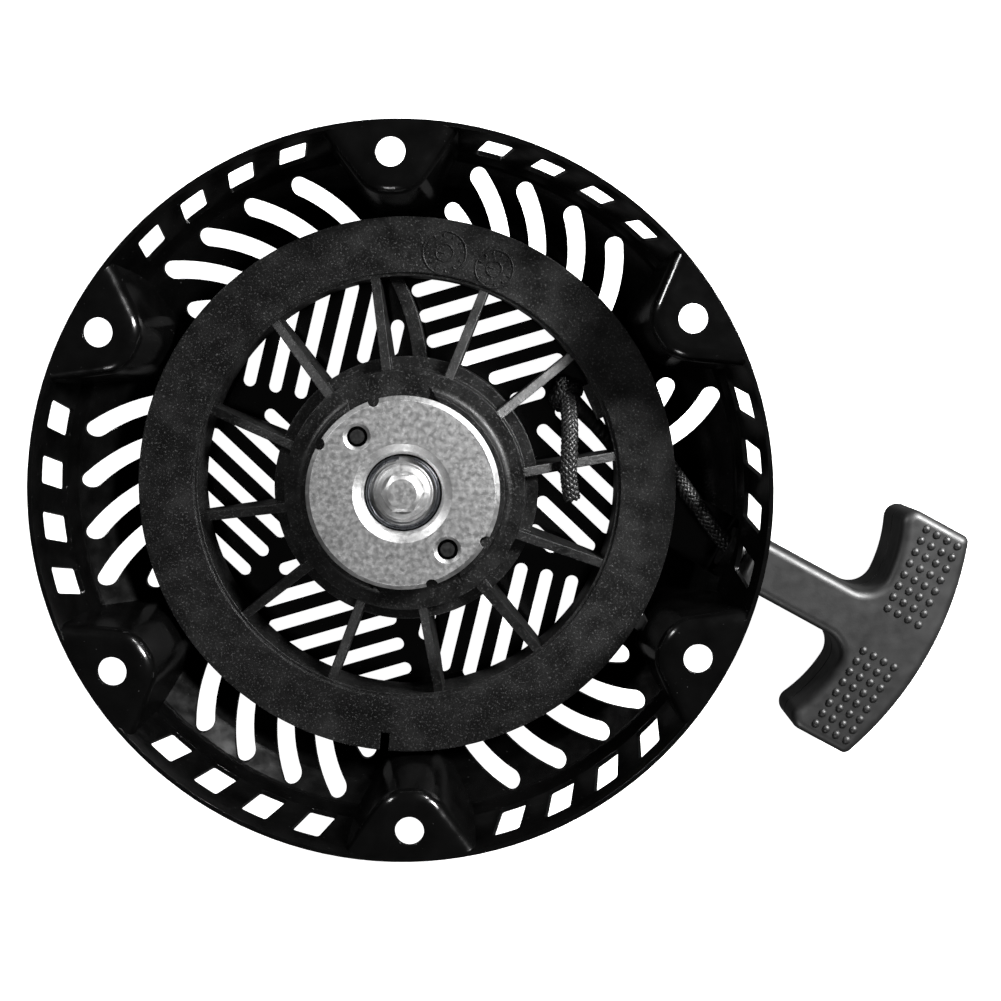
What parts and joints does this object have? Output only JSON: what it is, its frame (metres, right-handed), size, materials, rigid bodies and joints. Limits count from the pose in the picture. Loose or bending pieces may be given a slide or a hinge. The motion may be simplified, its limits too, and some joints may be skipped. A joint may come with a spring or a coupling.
{
  "type": "recoil starter",
  "caption": "Round pressed-steel pull starter with a rope reel, rewind spring, pawl clutch and a T-handle on a cord.",
  "frame": {"origin": "centre of the mounting bolt circle, on the face of the six tabs that meets the engine", "axes": "+Z along the reel's axis towards the engine; +X through the middle of the side that the rope leaves; the rope is pulled 30 degrees below +X"},
  "size_m": [0.2989, 0.2308, 0.0525],
  "materials": {
    "black_paint": "gloss black enamel on pressed steel",
    "guide_plastic": "smooth black nylon",
    "rope": "braided black nylon",
    "reel_plastic": "moulded black glass-filled nylon",
    "post_steel": "turned steel",
    "zinc": "bright zinc plate",
    "spring_steel": "oiled spring steel",
    "dark_steel": "black oxide sintered steel",
    "handle_plastic": "moulded dark grey polypropylene"
  },
  "bodies": {
    "housing_body": {"housing": "black_paint", "rope_guide": "guide_plastic", "rope_run": "rope", "center_post": "post_steel", "thrust_washer": "zinc", "center_bolt": "zinc", "friction_spring": "spring_steel", "mainspring": "spring_steel"},
    "reel_body": {"reel": "reel_plastic", "rope_wound": "rope", "rope_knot": "rope", "pawl_spring_a": "spring_steel", "pawl_spring_b": "spring_steel"},
    "guide_plate_body": {"guide_plate": "zinc"},
    "pawl_a_body": {"pawl_a": "dark_steel"},
    "pawl_b_body": {"pawl_b": "dark_steel"},
    "handle_body": {"handle_front": "handle_plastic", "handle_back": "handle_plastic", "handle_insert": "zinc", "handle_rope": "rope"}
  },
  "joints": [
    {"name": "reel_spin", "type": "hinge", "parent": "housing_body", "child": "reel_body", "pos_m": [0, 0, -0.03], "axis": [0, 0, -1], "range_deg": [0, 720], "stiffness_Nm_per_rad": 0.06, "springref_deg": -630.25, "deforming": ["rope_wound", "mainspring"]},
    {"name": "handle_pull", "type": "slide", "parent": "housing_body", "child": "handle_body", "axis": [0.866, -0.5, 0], "range_m": [0, 0.94], "deforming": ["rope_run"]},
    {"name": "plate_lag", "type": "hinge", "parent": "reel_body", "child": "guide_plate_body", "pos_m": [0, 0, -0.0105], "axis": [0, 0, 1], "range_deg": [0, 7.5], "stiffness_Nm_per_rad": 0.02, "springref_deg": -5.73},
    {"name": "pawl_a_swing", "type": "hinge", "parent": "reel_body", "child": "pawl_a_body", "pos_m": [-0.00989, 0.01308, -0.017], "axis": [0, 0, 1], "range_deg": [0, 26.5]},
    {"name": "pawl_b_swing", "type": "hinge", "parent": "reel_body", "child": "pawl_b_body", "pos_m": [0.00989, -0.01308, -0.017], "axis": [0, 0, 1], "range_deg": [0, 26.5]}
  ],
  "couplings": [
    {"joint": "handle_pull", "follows": "reel_spin", "m_per_rad": 0.0745},
    {"joint": "pawl_a_swing", "follows": "plate_lag", "ratio": 3.52},
    {"joint": "pawl_b_swing", "follows": "plate_lag", "ratio": 3.52}
  ]
}
